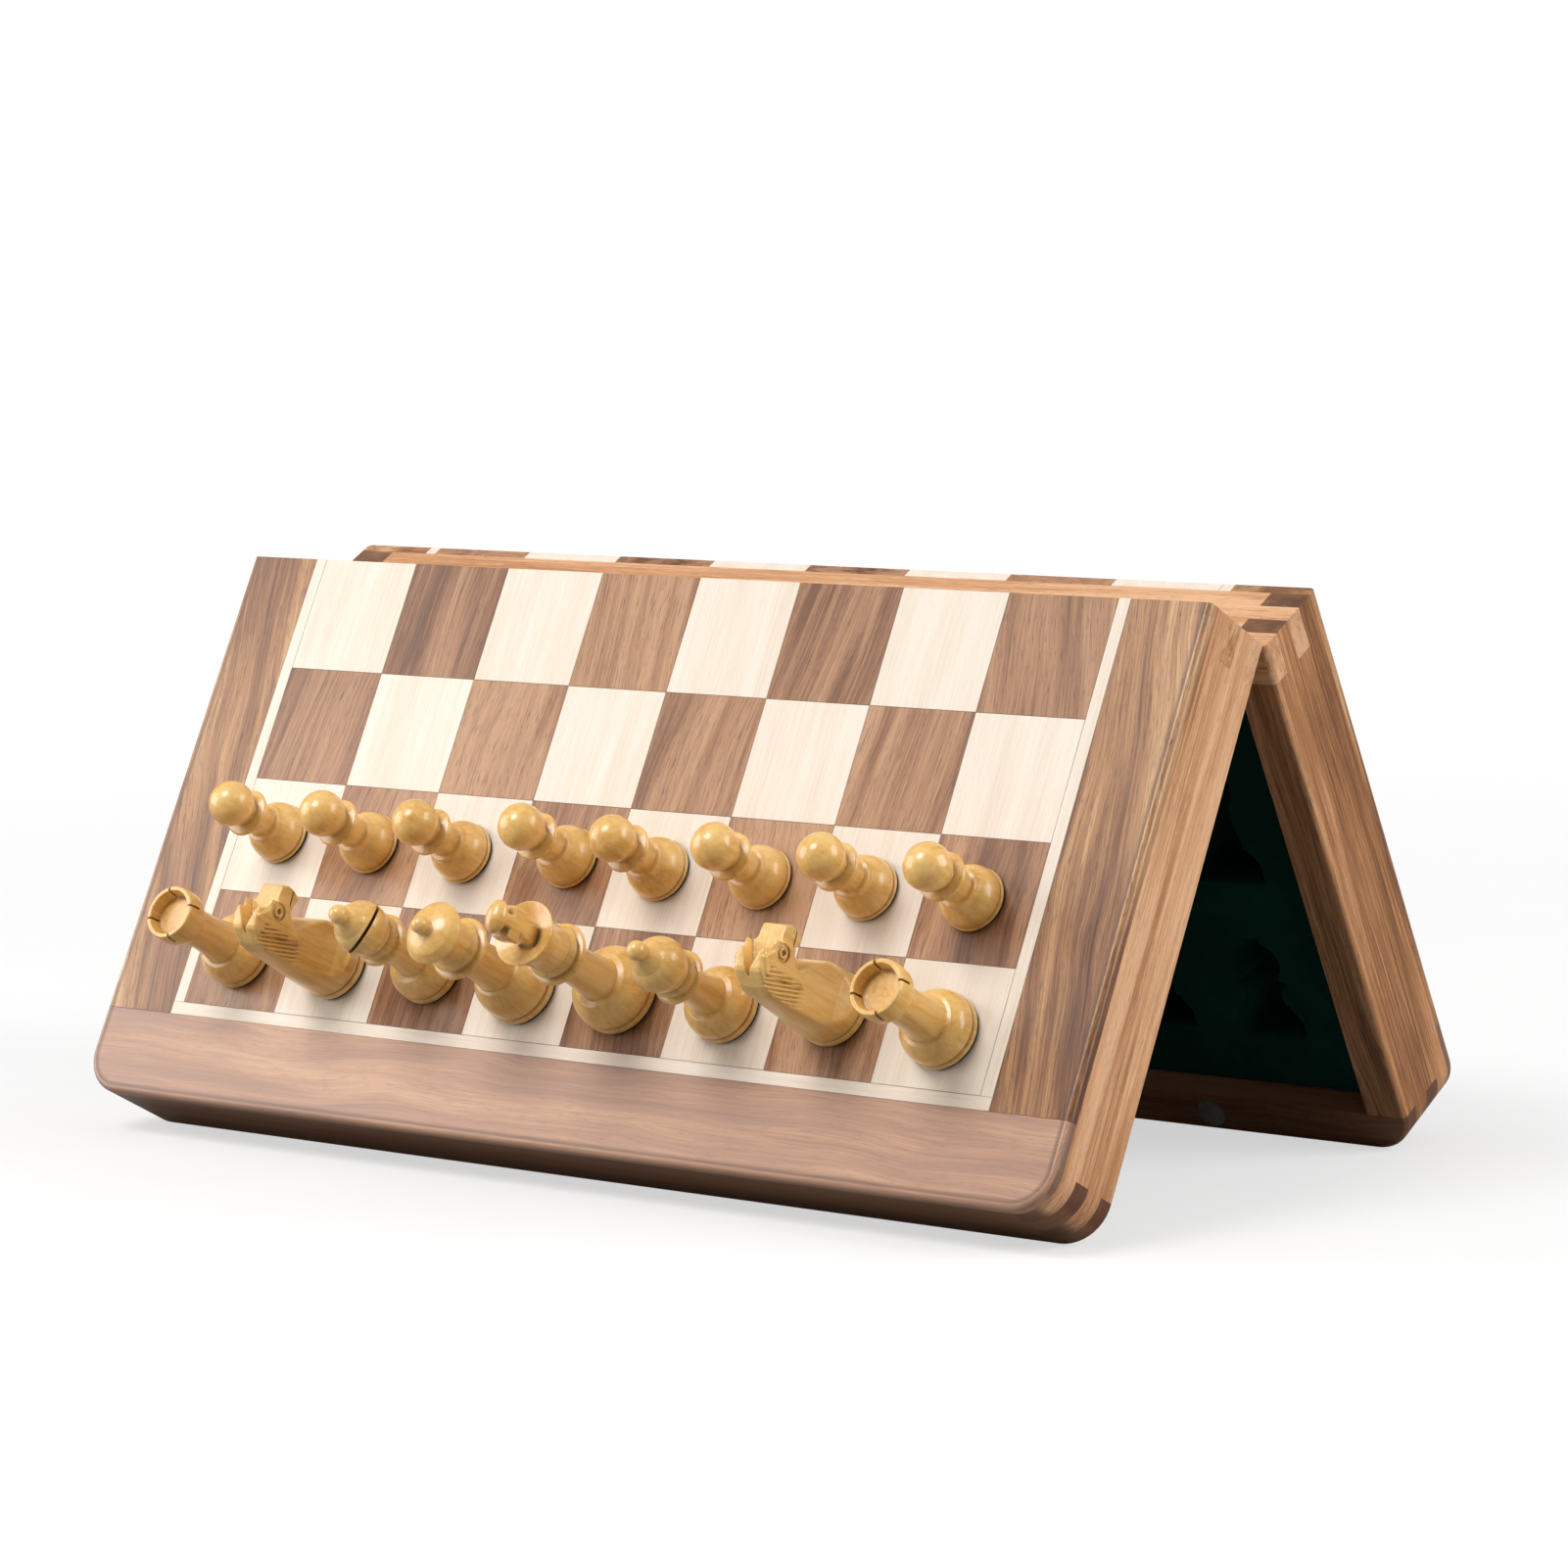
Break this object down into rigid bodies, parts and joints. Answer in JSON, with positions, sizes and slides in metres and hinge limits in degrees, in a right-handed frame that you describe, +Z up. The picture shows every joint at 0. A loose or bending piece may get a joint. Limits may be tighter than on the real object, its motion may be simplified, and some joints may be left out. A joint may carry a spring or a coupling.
{
  "type": "folding magnetic chess set",
  "caption": "Folding wooden chess board standing as a tent, with turned magnetic chess pieces set up on both halves and a flocked storage tray inside",
  "frame": {"origin": "on the floor under the hinge axis, in the middle of the board", "axes": "+X along the hinge to the right as seen from the front half, +Y to the rear half, +Z up"},
  "size_m": [0.305, 0.2486, 0.1463],
  "materials": {
    "case_wood": "satin lacquered acacia rails",
    "acacia": "satin lacquered",
    "acacia_border": "satin lacquered",
    "maple": "satin lacquered",
    "core": "raw plywood",
    "steel": "mill",
    "felt": "flocked",
    "magnet": "nickel plated",
    "brass": "polished",
    "brass_screw": "polished",
    "light_boxwood": "satin lacquered boxwood",
    "dark_wood": "satin lacquered"
  },
  "bodies": {
    "front_half": {"front_hinge_rail": "case_wood", "front_closing_rail": "case_wood", "front_left_rail": "case_wood", "front_right_rail": "case_wood", "front_core_panel": "core", "front_steel_sheet": "steel", "front_light_squares": "maple", "front_dark_squares": "acacia", "front_inlay_strips": "maple", "front_border_boards": "acacia_border", "front_piece_tray": "felt", "front_closure_magnets": "magnet", "front_hinge_leaves": "brass", "front_hinge_screws": "brass_screw"},
    "front_rook_a": {"front_rook_a": "light_boxwood"},
    "front_knight_b": {"front_knight_b": "light_boxwood"},
    "front_bishop_c": {"front_bishop_c": "light_boxwood"},
    "front_queen": {"front_queen": "light_boxwood"},
    "front_king": {"front_king": "light_boxwood"},
    "front_bishop_f": {"front_bishop_f": "light_boxwood"},
    "front_knight_g": {"front_knight_g": "light_boxwood"},
    "front_rook_h": {"front_rook_h": "light_boxwood"},
    "front_pawn_a": {"front_pawn_a": "light_boxwood"},
    "front_pawn_b": {"front_pawn_b": "light_boxwood"},
    "front_pawn_c": {"front_pawn_c": "light_boxwood"},
    "front_pawn_d": {"front_pawn_d": "light_boxwood"},
    "front_pawn_e": {"front_pawn_e": "light_boxwood"},
    "front_pawn_f": {"front_pawn_f": "light_boxwood"},
    "front_pawn_g": {"front_pawn_g": "light_boxwood"},
    "front_pawn_h": {"front_pawn_h": "light_boxwood"},
    "rear_half": {"rear_hinge_rail": "case_wood", "rear_closing_rail": "case_wood", "rear_left_rail": "case_wood", "rear_right_rail": "case_wood", "rear_core_panel": "core", "rear_steel_sheet": "steel", "rear_light_squares": "maple", "rear_dark_squares": "acacia", "rear_inlay_strips": "maple", "rear_border_boards": "acacia_border", "rear_piece_tray": "felt", "rear_closure_magnets": "magnet", "rear_hinge_leaves": "brass", "rear_hinge_screws": "brass_screw"},
    "rear_rook_a": {"rear_rook_a": "dark_wood"},
    "rear_knight_b": {"rear_knight_b": "dark_wood"},
    "rear_bishop_c": {"rear_bishop_c": "dark_wood"},
    "rear_queen": {"rear_queen": "dark_wood"},
    "rear_king": {"rear_king": "dark_wood"},
    "rear_bishop_f": {"rear_bishop_f": "dark_wood"},
    "rear_knight_g": {"rear_knight_g": "dark_wood"},
    "rear_rook_h": {"rear_rook_h": "dark_wood"},
    "rear_pawn_a": {"rear_pawn_a": "dark_wood"},
    "rear_pawn_b": {"rear_pawn_b": "dark_wood"},
    "rear_pawn_c": {"rear_pawn_c": "dark_wood"},
    "rear_pawn_d": {"rear_pawn_d": "dark_wood"},
    "rear_pawn_e": {"rear_pawn_e": "dark_wood"},
    "rear_pawn_f": {"rear_pawn_f": "dark_wood"},
    "rear_pawn_g": {"rear_pawn_g": "dark_wood"},
    "rear_pawn_h": {"rear_pawn_h": "dark_wood"}
  },
  "joints": [
    {"name": "board_fold", "type": "hinge", "parent": "front_half", "child": "rear_half", "pos_m": [0, 0, 0.13412], "axis": [1, 0, 0], "range_deg": [-56, 124]},
    {"name": "front_rook_a_lift", "type": "slide", "parent": "front_half", "child": "front_rook_a", "axis": [0, -0.8829, 0.4695], "range_m": [0, 0.06]},
    {"name": "front_knight_b_lift", "type": "slide", "parent": "front_half", "child": "front_knight_b", "axis": [0, -0.8829, 0.4695], "range_m": [0, 0.06]},
    {"name": "front_bishop_c_lift", "type": "slide", "parent": "front_half", "child": "front_bishop_c", "axis": [0, -0.8829, 0.4695], "range_m": [0, 0.06]},
    {"name": "front_queen_lift", "type": "slide", "parent": "front_half", "child": "front_queen", "axis": [0, -0.8829, 0.4695], "range_m": [0, 0.06]},
    {"name": "front_king_lift", "type": "slide", "parent": "front_half", "child": "front_king", "axis": [0, -0.8829, 0.4695], "range_m": [0, 0.06]},
    {"name": "front_bishop_f_lift", "type": "slide", "parent": "front_half", "child": "front_bishop_f", "axis": [0, -0.8829, 0.4695], "range_m": [0, 0.06]},
    {"name": "front_knight_g_lift", "type": "slide", "parent": "front_half", "child": "front_knight_g", "axis": [0, -0.8829, 0.4695], "range_m": [0, 0.06]},
    {"name": "front_rook_h_lift", "type": "slide", "parent": "front_half", "child": "front_rook_h", "axis": [0, -0.8829, 0.4695], "range_m": [0, 0.06]},
    {"name": "front_pawn_a_lift", "type": "slide", "parent": "front_half", "child": "front_pawn_a", "axis": [0, -0.8829, 0.4695], "range_m": [0, 0.06]},
    {"name": "front_pawn_b_lift", "type": "slide", "parent": "front_half", "child": "front_pawn_b", "axis": [0, -0.8829, 0.4695], "range_m": [0, 0.06]},
    {"name": "front_pawn_c_lift", "type": "slide", "parent": "front_half", "child": "front_pawn_c", "axis": [0, -0.8829, 0.4695], "range_m": [0, 0.06]},
    {"name": "front_pawn_d_lift", "type": "slide", "parent": "front_half", "child": "front_pawn_d", "axis": [0, -0.8829, 0.4695], "range_m": [0, 0.06]},
    {"name": "front_pawn_e_lift", "type": "slide", "parent": "front_half", "child": "front_pawn_e", "axis": [0, -0.8829, 0.4695], "range_m": [0, 0.06]},
    {"name": "front_pawn_f_lift", "type": "slide", "parent": "front_half", "child": "front_pawn_f", "axis": [0, -0.8829, 0.4695], "range_m": [0, 0.06]},
    {"name": "front_pawn_g_lift", "type": "slide", "parent": "front_half", "child": "front_pawn_g", "axis": [0, -0.8829, 0.4695], "range_m": [0, 0.06]},
    {"name": "front_pawn_h_lift", "type": "slide", "parent": "front_half", "child": "front_pawn_h", "axis": [0, -0.8829, 0.4695], "range_m": [0, 0.06]},
    {"name": "rear_rook_a_lift", "type": "slide", "parent": "rear_half", "child": "rear_rook_a", "axis": [0, 0.8829, 0.4695], "range_m": [0, 0.06]},
    {"name": "rear_knight_b_lift", "type": "slide", "parent": "rear_half", "child": "rear_knight_b", "axis": [0, 0.8829, 0.4695], "range_m": [0, 0.06]},
    {"name": "rear_bishop_c_lift", "type": "slide", "parent": "rear_half", "child": "rear_bishop_c", "axis": [0, 0.8829, 0.4695], "range_m": [0, 0.06]},
    {"name": "rear_queen_lift", "type": "slide", "parent": "rear_half", "child": "rear_queen", "axis": [0, 0.8829, 0.4695], "range_m": [0, 0.06]},
    {"name": "rear_king_lift", "type": "slide", "parent": "rear_half", "child": "rear_king", "axis": [0, 0.8829, 0.4695], "range_m": [0, 0.06]},
    {"name": "rear_bishop_f_lift", "type": "slide", "parent": "rear_half", "child": "rear_bishop_f", "axis": [0, 0.8829, 0.4695], "range_m": [0, 0.06]},
    {"name": "rear_knight_g_lift", "type": "slide", "parent": "rear_half", "child": "rear_knight_g", "axis": [0, 0.8829, 0.4695], "range_m": [0, 0.06]},
    {"name": "rear_rook_h_lift", "type": "slide", "parent": "rear_half", "child": "rear_rook_h", "axis": [0, 0.8829, 0.4695], "range_m": [0, 0.06]},
    {"name": "rear_pawn_a_lift", "type": "slide", "parent": "rear_half", "child": "rear_pawn_a", "axis": [0, 0.8829, 0.4695], "range_m": [0, 0.06]},
    {"name": "rear_pawn_b_lift", "type": "slide", "parent": "rear_half", "child": "rear_pawn_b", "axis": [0, 0.8829, 0.4695], "range_m": [0, 0.06]},
    {"name": "rear_pawn_c_lift", "type": "slide", "parent": "rear_half", "child": "rear_pawn_c", "axis": [0, 0.8829, 0.4695], "range_m": [0, 0.06]},
    {"name": "rear_pawn_d_lift", "type": "slide", "parent": "rear_half", "child": "rear_pawn_d", "axis": [0, 0.8829, 0.4695], "range_m": [0, 0.06]},
    {"name": "rear_pawn_e_lift", "type": "slide", "parent": "rear_half", "child": "rear_pawn_e", "axis": [0, 0.8829, 0.4695], "range_m": [0, 0.06]},
    {"name": "rear_pawn_f_lift", "type": "slide", "parent": "rear_half", "child": "rear_pawn_f", "axis": [0, 0.8829, 0.4695], "range_m": [0, 0.06]},
    {"name": "rear_pawn_g_lift", "type": "slide", "parent": "rear_half", "child": "rear_pawn_g", "axis": [0, 0.8829, 0.4695], "range_m": [0, 0.06]},
    {"name": "rear_pawn_h_lift", "type": "slide", "parent": "rear_half", "child": "rear_pawn_h", "axis": [0, 0.8829, 0.4695], "range_m": [0, 0.06]}
  ]
}
